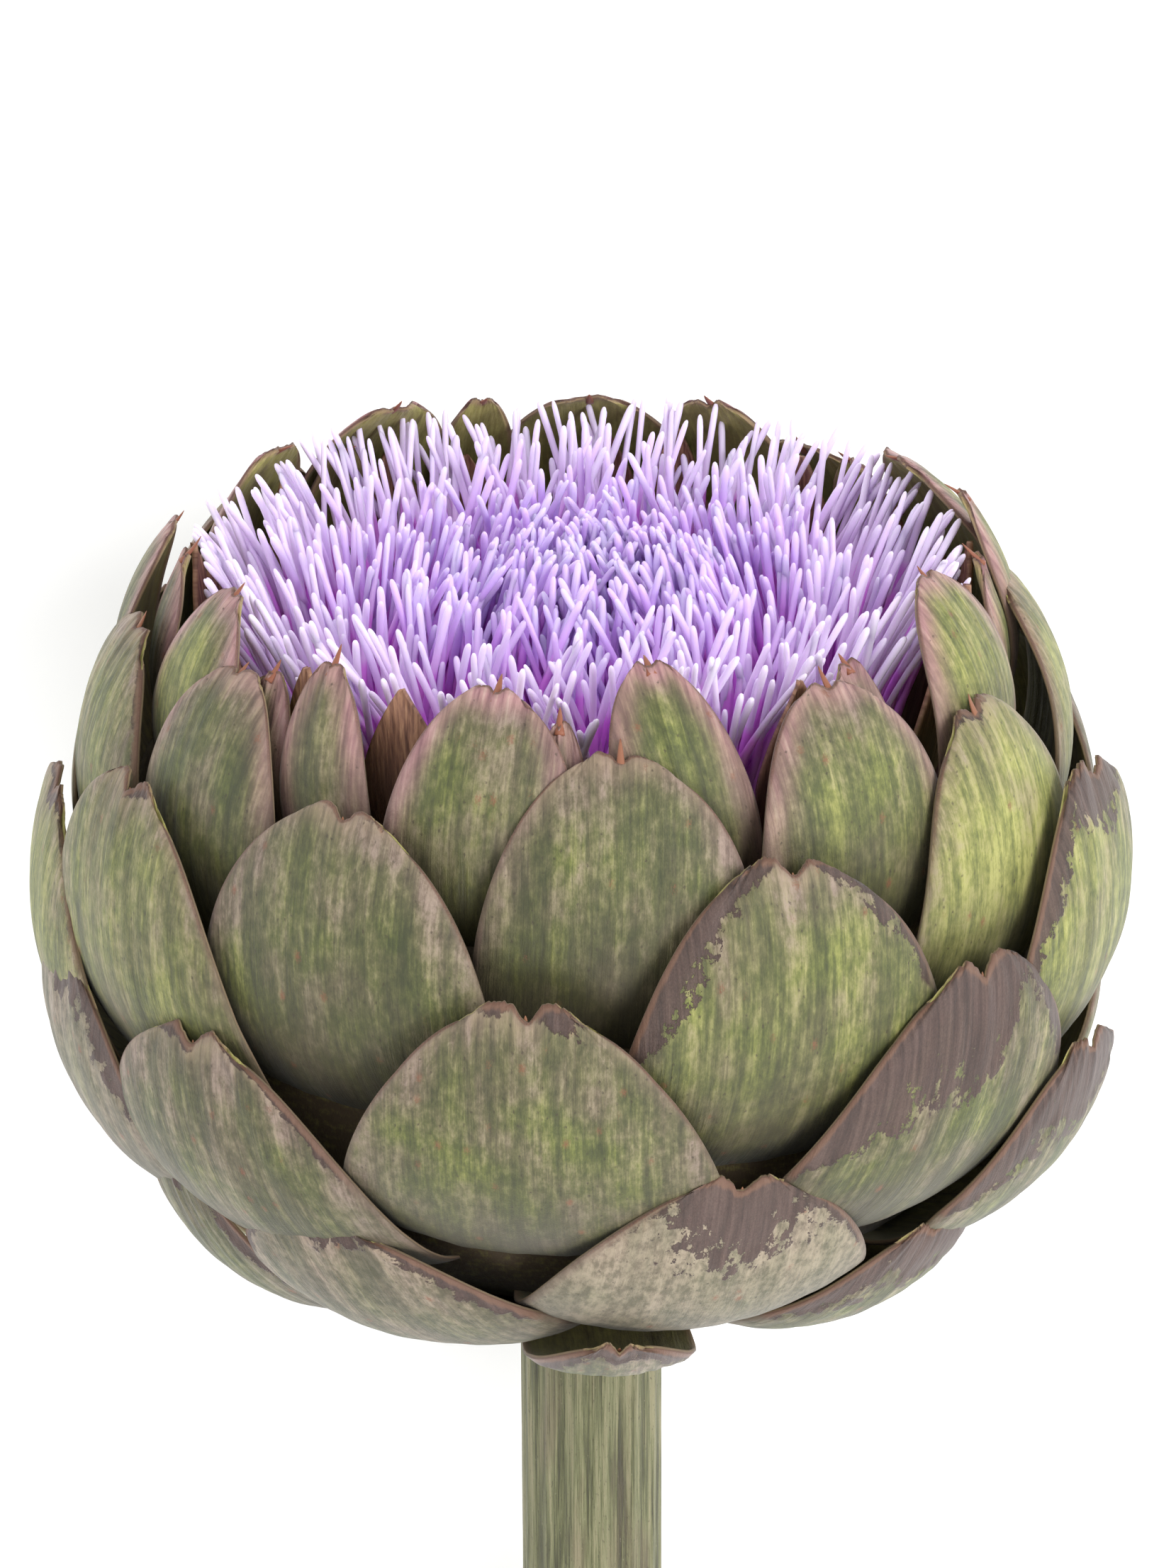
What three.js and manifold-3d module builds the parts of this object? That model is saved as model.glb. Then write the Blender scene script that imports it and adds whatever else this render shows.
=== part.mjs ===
// A globe artichoke in full flower on its cut stem, lying on its side.
// Millimetres. +Z is up from the surface, -Y is towards the cut end of the stem, +Y towards the flower.
// The shapes are drawn upright about the stem's own axis, with z = 0 at the widest part of the head
// and the big front bract towards -Y, and the whole head is then laid back onto the surface.
import * as THREE from "three";
import { mergeVertices } from "three/addons/utils/BufferGeometryUtils.js";
import Module from "manifold-3d";

const wasm = await Module();
wasm.setup();

// Head: a squarish globe that is 150 mm across the bracts
const GLOBE_RADIUS = 78.5;
const GLOBE_LEVEL = -3;
const GLOBE_UP = 74;
const GLOBE_DOWN = 63;

// Bracts: one golden-angle spiral from the stem up to the rim, bract 0 is the big one in front
const FIRST_BRACT = -24;
const LAST_BRACT = 37;
const TURN = 222.49;
const FIRST_TURN = -7.6;
const ROOT_DEPTH = 20;
const TIP_DEPTH = 4.5;
const LAYER_STEP = 0.45;
const LAYER_MOST = 5.5;
const LAST_LAYER = 1.5;
const LAST_LAYER_FROM = 31;
const BRACT_WIDTH = 50;
const BRACT_SPAN = 60;
const NOTCH = 0.045;
const NOTCH_TOP = 0.03;
const BRACT_THICK = 1.7;
const BRACT_EDGE = 0.9;

// Fleshy base of the head that every bract grows from
const BASE_DEPTH = 11;
const BASE_DEPTH_TOP = 16;
const BOWL_RADIUS = 52;
const BOWL_FLOOR = 5;
const BOWL_RIM = 12;

// Inner papery bracts, in a ring between the green bracts and the florets
const INNER_BRACTS = 21;
const INNER_WIDTH = 13;
const INNER_FOOT = 48.2;
const INNER_SPREAD = 5;
const INNER_TOP = 36;
const INNER_FLOOR = 5.3;
const RING_RADIUS = 48.8;
const RING_TOP = 9.5;

// Florets on their domed bed
const BED_RADIUS = 43;
const BED_TOP = 14;
const FLORETS = 160;
const FLORET_RADIUS = 1.6;
const FLORET_TOP = 41;

// Stem
const STEM_RADIUS = 9.6;
const STEM_SIDE = 0.9;
const STEM_TOP = -56.3;
const STEM_END = -168;
const STEM_RIBS = 14;
const RIB_HEIGHT = 0.35;

// Steps in a surface that are smaller than this are smoothed away
const SMALLEST_STEP = 0.08;

// Pose: the stem's axis slopes up towards the head, and the lowest bract is flat by a shaving
const TILT = 23.3;
const LIFT = 74.7;

// What each bract does that the rule alone does not: degrees of turn, of rise and of lean of its tip,
// millimetres that the tip stands open, and its share of the usual width
const BRACT_HABIT = {
  "-21": [4, 4, 0, 5, 0.9],
  "-18": [3, 13, -10, -1.5, 0.8],
  "-16": [10, -2, 6, 0.5, 1],
  "-13": [-3, -1, -14, 0, 1.05],
  "-11": [0, 9, -6, 3.5, 1.1],
  "-10": [3, 15, 0, 0, 1],
  "-8": [2, -4, 4, 0, 1],
  "-7": [-4, -2, 0, -3, 1],
  "-6": [2, -3, 0, -3, 1],
  "-5": [0, 2, -6, 0, 1],
  "-3": [-5, 4, 9, 0, 1],
  "-2": [12, 9, 0, -1.5, 1],
  0: [2, -1.5, 0, 0, 1],
  2: [-8, 2, 0, 1.5, 1.05],
  3: [5, 2, -6, 0, 0.95],
  5: [-3, -4, 2, 0, 1],
  6: [0, -2, 0, -2, 1],
  7: [-2, -5, 0, -4, 1],
  8: [1, -5, -2, 0, 1],
  10: [-3, -3, 2, 0, 0.9],
  11: [3, -1, 0, 1, 1],
  12: [4, 3, 0, 0, 1],
  13: [-1, -3.5, 2, 0, 1],
  14: [4, 2, 0, 0, 1],
  15: [3, -3, 0, -1, 1],
  16: [-3, -3, 0, 0, 0.9],
  17: [4, -1, 0, 0, 1],
  18: [-3, -3, 0, 0, 1],
  19: [4, -4, 0, 2, 1],
  20: [-8, 3, 0, -1, 1.15],
  21: [3, -1.5, 2, 0, 1],
  22: [5, -1, 0, 0, 1.1],
  23: [-7, 1, 0, 0, 1],
  24: [8, -1, -2, 0, 1],
  25: [4, -4, 0, 0, 1],
  26: [-4, 0, -8, 0, 0.9],
  27: [-4, -4, 0, 0, 1.15],
  28: [-7, -2, 0, 2, 1],
  29: [2, -5, -5, 0, 0.8],
  30: [9, -6, 0, 0, 0.8],
  31: [-10, -6, 0, 0, 0.8],
  32: [6, -6, 0, 2, 1],
  33: [0, -11, 0, 0, 1],
  34: [0, -9, 0, 0, 0.7],
  35: [0, -11, 0, 0, 1],
  36: [2, -8, 0, 1, 1],
  37: [9, -10, 0, 0, 1],
};

const radians = THREE.MathUtils.degToRad;
const clamp = THREE.MathUtils.clamp;

// A number from 0 to 1 that is always the same for the same piece and the same use
function chance(piece, use) {
  const x = Math.sin(piece * 12.9898 + use * 78.233) * 43758.5453;
  return x - Math.floor(x);
}

function solid(geometry) {
  geometry.deleteAttribute("normal");
  geometry.deleteAttribute("uv");
  const merged = mergeVertices(geometry, 1e-4);
  const mesh = new wasm.Mesh({
    numProp: 3,
    vertProperties: merged.attributes.position.array,
    triVerts: new Uint32Array(merged.index.array),
  });
  return new wasm.Manifold(mesh);
}

// The largest single body, with any pocket that is closed all round filled up
function mainBody(made) {
  return made.decompose().reduce((a, b) => (b.volume() > a.volume() ? b : a));
}

// A point of the globe at a latitude in radians: radius, height and outward direction
function globe(latitude) {
  const s = Math.sin(latitude);
  const c = Math.cos(latitude);
  const height = s > 0 ? GLOBE_UP : GLOBE_DOWN;
  const power = s > 0 ? 0.75 : 0.65;
  const out = height * c;
  const up = GLOBE_RADIUS * power * c ** (power - 1) * s;
  const length = Math.hypot(out, up);
  return {
    r: GLOBE_RADIUS * c ** power,
    z: GLOBE_LEVEL + height * s,
    out: out / length,
    up: up / length,
  };
}

// Where bract k stands, how wide it is and how far it reaches
function bractPlan(k) {
  const usual = [4 * chance(k, 1) - 2, 3 * chance(k, 2) - 1.5, 6 * chance(k, 3) - 3, 0, 1];
  const habit = BRACT_HABIT[k] ?? usual;
  const turn = radians(FIRST_TURN + k * TURN + habit[0]);
  const backRise = k > 16 ? 3.5 * (1 - Math.cos(turn)) : 0;
  const rise = k > 0 ? 40 * (1 - Math.exp(-k / 10)) : 2.7 * k;
  const tip = 11 + rise + habit[1] + backRise;
  const span = k > 0 ? BRACT_SPAN - 0.75 * k : BRACT_SPAN;
  return {
    turn,
    lean: radians(habit[2]),
    tip: radians(tip),
    root: radians(Math.max(tip - span, -84)),
    width: habit[4] * (k > 0 ? BRACT_WIDTH * Math.exp(-((k / 28) ** 1.5)) : BRACT_WIDTH - 0.055 * k * k),
    open: habit[3],
    notch: k > 8 ? NOTCH_TOP : NOTCH,
    layer: Math.min(LAYER_STEP * Math.max(0, k), LAYER_MOST) + (k < LAST_LAYER_FROM ? 0 : LAST_LAYER),
    swell: 2.2 + 0.06 * Math.max(0, -k),
  };
}

// Half the outline of a bract: broad shoulders, then a blunt top
function outline(v) {
  if (v > 0.5) {
    return 0.3 + 0.7 * (1 - ((v - 0.5) / 0.5) ** 1.7) ** 0.7;
  }
  return 0.6 + 0.4 * Math.sin(v * Math.PI);
}

// A point of bract k: u runs across it from -1 to 1, v from root to tip, depth is below its outer face
function bractPoint(plan, u, v, depth) {
  const dip = plan.notch * Math.exp(-((u / 0.16) ** 2)) + 0.05 * Math.abs(u) ** 2.5;
  const along = v * (1 - dip * v ** 3);
  const at = globe(plan.root + (plan.tip - plan.root) * along);
  const inset = ROOT_DEPTH * (1 - along) ** plan.swell + TIP_DEPTH * along ** 2;
  const sunk = inset + plan.layer - plan.open * along ** 3;
  const r = at.r - at.out * sunk;
  const z = at.z - at.up * sunk;
  const bend = Math.max(r * (0.95 - 0.15 * along), 18);
  const angle = ((plan.width / 2) * outline(v) * u) / bend;
  const sag = (bend - depth) * Math.cos(angle) - bend;
  const side = (bend - depth) * Math.sin(angle);
  const turn = plan.turn + plan.lean * (along - 0.5);
  const reach = r + sag * at.out;
  return new THREE.Vector3(
    reach * Math.sin(turn) + side * Math.cos(turn),
    -reach * Math.cos(turn) + side * Math.sin(turn),
    z + sag * at.up,
  );
}

// A closed blade from a grid of points: both faces are split alike and joined by a thin rim
function blade(across, along, place, thickness) {
  const points = [];
  for (const inner of [0, 1]) {
    for (const v of along) {
      for (const u of across) {
        points.push(place(u, v, inner * thickness(u, v)));
      }
    }
  }
  const nu = across.length;
  const nv = along.length;
  const index = [];
  const quad = (a, b, c, d) => index.push(a, b, c, a, c, d);
  const under = nu * nv;
  for (let j = 0; j < nv - 1; j++) {
    for (let i = 0; i < nu - 1; i++) {
      const a = j * nu + i;
      quad(a, a + 1, a + nu + 1, a + nu);
      quad(under + a, under + a + nu, under + a + nu + 1, under + a + 1);
    }
  }
  for (let i = 0; i < nu - 1; i++) {
    const top = (nv - 1) * nu + i;
    quad(i + 1, i, under + i, under + i + 1);
    quad(top, top + 1, under + top + 1, under + top);
  }
  for (let j = 0; j < nv - 1; j++) {
    const left = j * nu;
    const right = left + nu - 1;
    quad(left, left + nu, under + left + nu, under + left);
    quad(right + nu, right, under + right, under + right + nu);
  }
  const geometry = new THREE.BufferGeometry().setFromPoints(points);
  geometry.setIndex(index);
  return solid(geometry);
}

function bractBlade(k) {
  const plan = bractPlan(k);
  return blade(
    k > 15 ? [-1, 0, 1] : [-1, -0.5, 0, 0.5, 1],
    [0, 0.3, 0.58, 0.84, 1],
    (u, v, depth) => bractPoint(plan, u, v, depth),
    (u, v) => BRACT_EDGE + (BRACT_THICK - BRACT_EDGE) * (1 - u * u) * (1 - v * v),
  );
}

// Inner bract j: a narrow pointed blade that stands up close inside the green ones
function innerPlan(j) {
  return {
    turn: radians(FIRST_TURN + (LAST_BRACT + 1 + j) * TURN + 6 * chance(j, 4) - 3),
    foot: INNER_FOOT - 0.9 * chance(j, 5),
    top: INNER_TOP + 4 * chance(j, 6),
    width: INNER_WIDTH * (0.8 + 0.3 * chance(j, 7)),
  };
}

function innerPoint(plan, u, v, depth) {
  const z = 7.5 + (plan.top - 7.5) * v;
  const r = plan.foot + INNER_SPREAD * Math.sin(v * 1.6);
  const half = (plan.width / 2) * (v > 0.55 ? 0.06 + 0.94 * (1 - ((v - 0.55) / 0.45) ** 1.5) : 0.6 + 0.4 * (v / 0.55));
  const bend = r * 0.8;
  const angle = (half * u) / bend;
  const reach = r - bend + (bend - depth) * Math.cos(angle);
  const side = (bend - depth) * Math.sin(angle);
  return new THREE.Vector3(
    reach * Math.sin(plan.turn) + side * Math.cos(plan.turn),
    -reach * Math.cos(plan.turn) + side * Math.sin(plan.turn),
    z,
  );
}

function innerBlade(j) {
  const plan = innerPlan(j);
  return blade(
    [-1, 0, 1],
    [0, 0.5, 0.8, 1],
    (u, v, depth) => innerPoint(plan, u, v, depth),
    () => 0.8,
  );
}

// A turned solid from [radius, height] pairs that start and end on the axis
function turned(profile, segments) {
  const points = profile.map(([r, z]) => new THREE.Vector2(r, z));
  return solid(new THREE.LatheGeometry(points, segments).rotateX(Math.PI / 2));
}

// The bracts' fleshy base with its bowl
function headBase() {
  const profile = [
    [0, STEM_TOP + 0.3],
    [13, STEM_TOP + 0.3],
  ];
  for (const latitude of [-76, -62, -48, -36, -24, -12, 0]) {
    const at = globe(radians(latitude));
    const depth = BASE_DEPTH + (BASE_DEPTH_TOP - BASE_DEPTH) * clamp((latitude + 48) / 48, 0, 1);
    profile.push([at.r - at.out * depth, Math.max(at.z - at.up * depth, STEM_TOP + 0.3)]);
  }
  profile.push([61, BOWL_RIM - 4]);
  profile.push([57, BOWL_RIM]);
  profile.push([BOWL_RADIUS, BOWL_RIM - 1]);
  profile.push([BOWL_RADIUS, BOWL_FLOOR]);
  profile.push([0, BOWL_FLOOR]);
  return turned(profile, 32);
}

function greenBracts() {
  const blades = [];
  for (let k = FIRST_BRACT; k <= LAST_BRACT; k++) {
    blades.push(bractBlade(k));
  }
  return wasm.Manifold.union([headBase(), ...blades]).simplify(SMALLEST_STEP);
}

function innerBracts() {
  const ring = turned(
    [
      [BED_RADIUS + 0.4, INNER_FLOOR],
      [RING_RADIUS, INNER_FLOOR],
      [RING_RADIUS, RING_TOP],
      [BED_RADIUS + 0.4, RING_TOP],
      [BED_RADIUS + 0.4, INNER_FLOOR],
    ],
    40,
  );
  const blades = Array.from({ length: INNER_BRACTS }, (_, j) => innerBlade(j));
  return wasm.Manifold.union([ring, ...blades]);
}

// One floret: a three-sided rod with a short point, from its root in the bed along its lean
function floret(i, lean, swell) {
  const share = Math.sqrt((i + 0.5) / FLORETS);
  const around = radians(i * TURN);
  const root = (BED_RADIUS - 3) * share;
  const tip = FLORET_TOP + 5 * chance(i, 8) - 2.5;
  const length = (tip - BED_TOP + 4) / Math.cos(lean);
  const rod = new THREE.LatheGeometry(
    [
      new THREE.Vector2(0, 0),
      new THREE.Vector2(FLORET_RADIUS + swell, 0),
      new THREE.Vector2(FLORET_RADIUS + swell, length * 0.86),
      new THREE.Vector2(0, length + swell),
    ],
    3,
  );
  rod.rotateX(Math.PI / 2);
  rod.rotateZ(6 * chance(i, 9));
  rod.rotateY(lean);
  rod.rotateZ(around + 0.5 * (chance(i, 10) - 0.5));
  rod.translate(root * Math.cos(around), root * Math.sin(around), BED_TOP - 4);
  return solid(rod);
}

// The florets lean inwards in the middle and outwards at the edge, as far as the bracts leave room
function florets(bracts) {
  const rods = [];
  for (let i = 0; i < FLORETS; i++) {
    const share = Math.sqrt((i + 0.5) / FLORETS);
    const wanted = radians(29 * share ** 4 - 20 * Math.sin(share * Math.PI) + 10 * (chance(i, 11) - 0.5));
    for (const part of [1, 0.75, 0.5, 0.25, 0, -0.2]) {
      const lean = Math.abs(wanted) * part * Math.sign(wanted);
      if (floret(i, lean, 0.4).intersect(bracts).isEmpty()) {
        rods.push(floret(i, lean, 0));
        break;
      }
    }
  }
  const bed = turned(
    [
      [0, INNER_FLOOR],
      [BED_RADIUS, INNER_FLOOR],
      [BED_RADIUS, BED_TOP - 4],
      [BED_RADIUS * 0.7, BED_TOP - 1],
      [0, BED_TOP],
    ],
    32,
  );
  return wasm.Manifold.union([bed, ...rods]).simplify(SMALLEST_STEP);
}

// The stem: round with low ribs all the way down, cut square
function stem() {
  const length = STEM_TOP - STEM_END;
  const geometry = new THREE.CylinderGeometry(STEM_RADIUS, STEM_RADIUS, length, STEM_RIBS * 3, 4);
  geometry.rotateX(Math.PI / 2);
  geometry.translate(0, 0, STEM_END + length / 2);
  const position = geometry.attributes.position;
  for (let i = 0; i < position.count; i++) {
    const x = position.getX(i);
    const y = position.getY(i);
    const z = position.getZ(i);
    if (Math.hypot(x, y) > 1) {
      const rib = 1 + (RIB_HEIGHT / STEM_RADIUS) * Math.cos(STEM_RIBS * Math.atan2(y, x));
      const flare = 1 + 0.12 * clamp((z - STEM_TOP + 20) / 20, 0, 1) ** 2;
      position.setXY(i, x * rib * flare, y * rib * flare);
    }
  }
  geometry.translate(STEM_SIDE, 0, 0);
  return solid(geometry);
}

const green = mainBody(greenBracts());
const inner = mainBody(innerBracts());
const flower = mainBody(florets(green.add(inner)));
const stalk = stem();

// Lay the head back onto the surface and shave what would go below it
const pose = new THREE.Matrix4().makeRotationX(radians(TILT - 90));
pose.premultiply(new THREE.Matrix4().makeTranslation(0, 0, LIFT));
const room = new THREE.BoxGeometry(400, 600, 400).translate(0, 0, 200);
const above = solid(room);
const laid = [
  ["stem", stalk, 0x7d8262, 0.75],
  ["green_bracts", green, 0x8a8f6c, 0.7],
  ["inner_bracts", inner, 0x9a7c72, 0.8],
  ["florets", flower, 0xb9a4dc, 0.6],
].map(([name, made, colour, roughness]) => ({
  name,
  body: mainBody(made.transform(pose.elements).intersect(above)),
  colour,
  roughness,
}));

// Centre the footprint on the origin
const box = new THREE.Box3();
for (const { body } of laid) {
  const { min, max } = body.boundingBox();
  box.expandByPoint(new THREE.Vector3(...min));
  box.expandByPoint(new THREE.Vector3(...max));
}
const middle = box.getCenter(new THREE.Vector3());

const artichoke = new THREE.Group();
artichoke.name = "artichoke";
for (const { name, body, colour, roughness } of laid) {
  const { vertProperties, triVerts } = body.translate([-middle.x, -middle.y, 0]).getMesh();
  const geometry = new THREE.BufferGeometry();
  geometry.setAttribute("position", new THREE.BufferAttribute(vertProperties, 3));
  geometry.setIndex(new THREE.BufferAttribute(triVerts, 1));
  geometry.computeVertexNormals();
  const material = new THREE.MeshStandardMaterial({ color: colour, roughness, metalness: 0, flatShading: true });
  const mesh = new THREE.Mesh(geometry, material);
  mesh.name = name;
  artichoke.add(mesh);
}

export default artichoke;
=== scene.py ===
import math

import bpy
import numpy as np
from mathutils import Matrix, Vector


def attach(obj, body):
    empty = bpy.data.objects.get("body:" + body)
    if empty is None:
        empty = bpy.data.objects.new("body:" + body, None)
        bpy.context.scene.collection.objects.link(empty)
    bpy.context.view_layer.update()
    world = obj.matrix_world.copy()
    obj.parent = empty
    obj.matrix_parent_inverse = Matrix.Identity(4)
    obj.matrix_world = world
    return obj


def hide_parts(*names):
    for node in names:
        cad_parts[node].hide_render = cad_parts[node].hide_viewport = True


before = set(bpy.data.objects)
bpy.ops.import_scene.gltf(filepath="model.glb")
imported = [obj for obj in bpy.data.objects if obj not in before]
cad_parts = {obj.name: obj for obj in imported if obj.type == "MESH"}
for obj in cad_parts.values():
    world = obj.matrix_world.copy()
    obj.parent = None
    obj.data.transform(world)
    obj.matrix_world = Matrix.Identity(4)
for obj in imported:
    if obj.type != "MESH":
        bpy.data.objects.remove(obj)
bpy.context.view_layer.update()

# Head
GLOBE_RADIUS = 78.5
GLOBE_LEVEL = -3
GLOBE_UP = 74
GLOBE_DOWN = 63

# Bracts
FIRST_BRACT = -24
LAST_BRACT = 37
TURN = 222.49
FIRST_TURN = -7.6
ROOT_DEPTH = 20
TIP_DEPTH = 4.5
LAYER_STEP = 0.45
LAYER_MOST = 5.5
LAST_LAYER = 1.5
LAST_LAYER_FROM = 31
BRACT_WIDTH = 50
BRACT_SPAN = 60
NOTCH = 0.036
NOTCH_TOP = 0.026
BRACT_THICK = 1.7
BRACT_RIM_THICK = 0.495
EDGE_ROLL = 0.6
DOME = 0.9
DOME_DROP = 0.4
KEEL = 0.3
TUCK = 0.16
TUCK_FROM = 12
SHARP_FROM = 9
GLOBE_ARC = 70
BRACT_COLUMNS = 45
BRACT_ROWS = 48

# Thorns
THORN_RINGS = 8
THORN_SIDES = 8
THORN_FOOT = 0.965

# Fleshy base
BASE_DEPTH = 11
BASE_DEPTH_TOP = 16
BOWL_RADIUS = 52
BOWL_FLOOR = 5
BOWL_RIM = 12
BASE_SIDES = 96

# Inner bracts
INNER_BRACTS = 21
INNER_WIDTH = 13
INNER_FOOT = 48.2
INNER_SPREAD = 5
INNER_TOP = 36
INNER_FLOOR = 5.3
INNER_FROM = 7.5
INNER_THICK = 0.7
INNER_COLUMNS = 17
INNER_ROWS = 30

# Florets
BED_RADIUS = 43
BED_TOP = 14
FLORETS = 1500
FLORET_RADIUS = 0.46
FLORET_TOP = 41
FLORET_SPREAD = 53
FLORET_SIDES = 7
FLORET_RINGS = (0, 0.2, 0.4, 0.55, 0.62, 0.68, 0.78, 0.88, 0.955, 0.98, 0.994, 1)
FLORET_LEANS = (1, 0.85, 0.7, 0.55, 0.4, 0.25, 0.1, 0, -0.15)
BED_SIDES = 64

# Free room inside the bracts, in steps of turn and of height
ROOM_TURN = 5
ROOM_STEP = 2
ROOM_LEVELS = 32
ROOM_WIDEST = 70.0

# Stem
STEM_RADIUS = 9.6
STEM_SIDE = 0.9
STEM_TOP = -56.3
STEM_END = -168
STEM_RIBS = 14
RIB_HEIGHT = 0.25
STEM_COLUMNS = 196
STEM_ROWS = 150

# Pose
TILT = math.radians(23.3)
LIFT = 74.7
CENTRE_X = 0.27
CENTRE_Y = 48.15

# The photograph's camera, about the head: elevation, distance and shift in millimetres, lens
CAMERA_RISE = math.radians(22.5)
CAMERA_AWAY = 800
CAMERA_SIDE = 0.7
CAMERA_UP = 6.3
CAMERA_ROLL = math.radians(0.2)
LENS = 135.9

# Floor, in metres: how far it reaches each way, and a hair below the flats that rest on it
FLOOR_REACH = 3.0
FLOOR_LEVEL = -0.0002
FLOOR_GLOW = 0.12

# Light: the white surroundings, and four soft lamps, each with its place and width in metres and
# its watts
WORLD_LIGHT = 0.8
AIM = (0, 0.05, 0.07)
LAMPS = {
    "key": ((0.95, 0.2, 1.1), 0.8, 14),
    "fill": ((-0.6, 0.5, 1.2), 0.8, 3),
    "low": ((0.35, -0.95, 0.9), 0.7, 8),
    "left": ((-1.0, 0.0, 0.35), 0.5, 2.5),
}

# What each bract does that the rule alone does not: degrees of turn, of rise and of lean of its tip,
# millimetres that the tip stands open, and its share of the usual width
BRACT_HABIT = {
    -21: (4, 4, 0, 5, 0.9),
    -18: (3, 13, -10, -1.5, 0.8),
    -16: (10, -2, 6, 0.5, 1),
    -13: (-4, -0.5, -14, 0, 1.12),
    -11: (0, 9, -6, 3.5, 1.1),
    -10: (3, 15, 0, 0, 1),
    -8: (2, -4, 4, 0, 1),
    -7: (-4, -2, 0, -3, 1),
    -6: (2, -3, 0, -3, 1),
    -5: (0, 2, -6, 0, 1),
    -3: (-5, 4, 9, 0, 1),
    -2: (12, 9, 0, -1.5, 1),
    0: (2, -1.5, 0, 0, 1),
    2: (-8, 2, 0, 1.5, 1.05),
    3: (5, 2, -6, 0, 0.95),
    5: (-3, -4, 2, 0, 1),
    6: (0, -2, 0, -2, 1),
    7: (-2, -5, 0, -4, 1),
    8: (1, -5, -2, 0, 1),
    10: (-3, -3, 2, 0, 0.9),
    11: (3, -1, 0, 1, 1),
    12: (4, 3, 0, 0, 1),
    13: (-1, -3.5, 2, 0, 1),
    14: (4, 2, 0, 0, 1),
    15: (3, -3, 0, -1, 1),
    16: (-3, -3, 0, 0, 0.9),
    17: (4, -1, 0, 0, 1),
    18: (-3, -3, 0, 0, 1),
    19: (4, -4, 0, 2, 1),
    20: (-8, 3, 0, -1, 1.15),
    21: (3, -1.5, 2, 0, 1),
    22: (5, -1, 0, 0, 1.1),
    23: (-7, 1, 0, 0, 1),
    24: (8, -1, -2, 0, 1),
    25: (4, -4, 0, 0, 1),
    26: (-4, 0, -8, 0, 0.9),
    27: (-4, -4, 0, 0, 1.15),
    28: (-7, -2, 0, 2, 1),
    29: (2, -5, -5, 0, 0.8),
    30: (9, -6, 0, 0, 0.8),
    31: (-10, -6, 0, 0, 0.8),
    32: (6, -6, 0, 2, 1),
    33: (0, -11, 0, 0, 1),
    34: (0, -9, 0, 0, 0.7),
    35: (0, -11, 0, 0, 1),
    36: (2, -8, 0, 1, 1),
    37: (9, -10, 0, 0, 1),
}

# Dried brown patches along the edge of a bract: millimetres that each reaches in, where across it lies
# from -1 to 1, and how wide it is
DRIED = {
    -21: [(4, 0, 1.5)],
    -18: [(5, 0.2, 0.9)],
    -16: [(12, 0.1, 1.0)],
    -13: [(4, 0, 1.5)],
    -11: [(14, -0.1, 1.0)],
    -10: [(7, 0.3, 0.9)],
    -8: [(13, 0.15, 0.55), (6, -0.4, 0.4)],
    -5: [(2, -0.3, 0.5), (2, 0.8, 0.3)],
    -3: [(17, 0.0, 0.45), (13, -0.6, 0.4), (4, 0.8, 0.3)],
    -2: [(3, 0.2, 0.8)],
    0: [(4, 0.45, 0.25), (2, -0.4, 0.3)],
    2: [(8, -0.1, 0.9)],
    3: [(2, 0.3, 0.4)],
    5: [(7, -0.75, 0.35), (5, 0.65, 0.3)],
    8: [(1.5, 0.6, 0.4)],
}

# How fresh each of the well seen bracts is: 0 is dull and mauve, 1 is bright yellow-green
FRESH = {
    -13: 0.14,
    -10: 0.1,
    -8: 0.02,
    -5: 0.3,
    -3: 0.35,
    0: 0.4,
    2: 0.65,
    3: 0.55,
    5: 0.55,
    8: 0.35,
    10: 0.82,
    11: 0.55,
    13: 0.35,
    15: 0.7,
    16: 0.4,
    18: 0.5,
    21: 0.4,
    23: 0.75,
    24: 0.65,
    26: 0.5,
}


def chance(piece, use):
    """A number from 0 to 1 that is always the same for the same piece and the same use."""
    x = math.sin(piece * 12.9898 + use * 78.233) * 43758.5453
    return x - math.floor(x)


def ripple(x, y, seed):
    """A smooth uneven wave of about -1 to 1, different for each seed."""
    total = 0
    for n in range(4):
        turn = 6.283 * chance(seed, 20 + n)
        finer = 1 + 0.6 * n
        start = 6.283 * chance(seed, 30 + n)
        total = total + np.sin(x * math.cos(turn) * finer + y * math.sin(turn) * finer + start)
    return total / 3


def lay(points):
    """Upright millimetres to the lying part's metres, flattened where it touches the floor."""
    x = points[:, 0] + CENTRE_X
    y = points[:, 1] * math.sin(TILT) + points[:, 2] * math.cos(TILT) + CENTRE_Y
    z = points[:, 2] * math.sin(TILT) - points[:, 1] * math.cos(TILT) + LIFT
    return np.stack([x, y, np.maximum(z, 0)], 1) / 1000


# Mesh code

def triples(*values):
    """Three grids or numbers as one row of three for each point."""
    return np.stack(np.broadcast_arrays(*values), -1).reshape(-1, 3)


def grid_faces(rows, columns, start=0, wrap=False):
    """Four-sided faces of a grid of points, closed round into a tube with wrap."""
    faces = []
    last = columns if wrap else columns - 1
    for j in range(rows - 1):
        for i in range(last):
            a = start + j * columns + i
            b = start + j * columns + (i + 1) % columns
            faces.append((a, b, b + columns, a + columns))
    return faces


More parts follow.
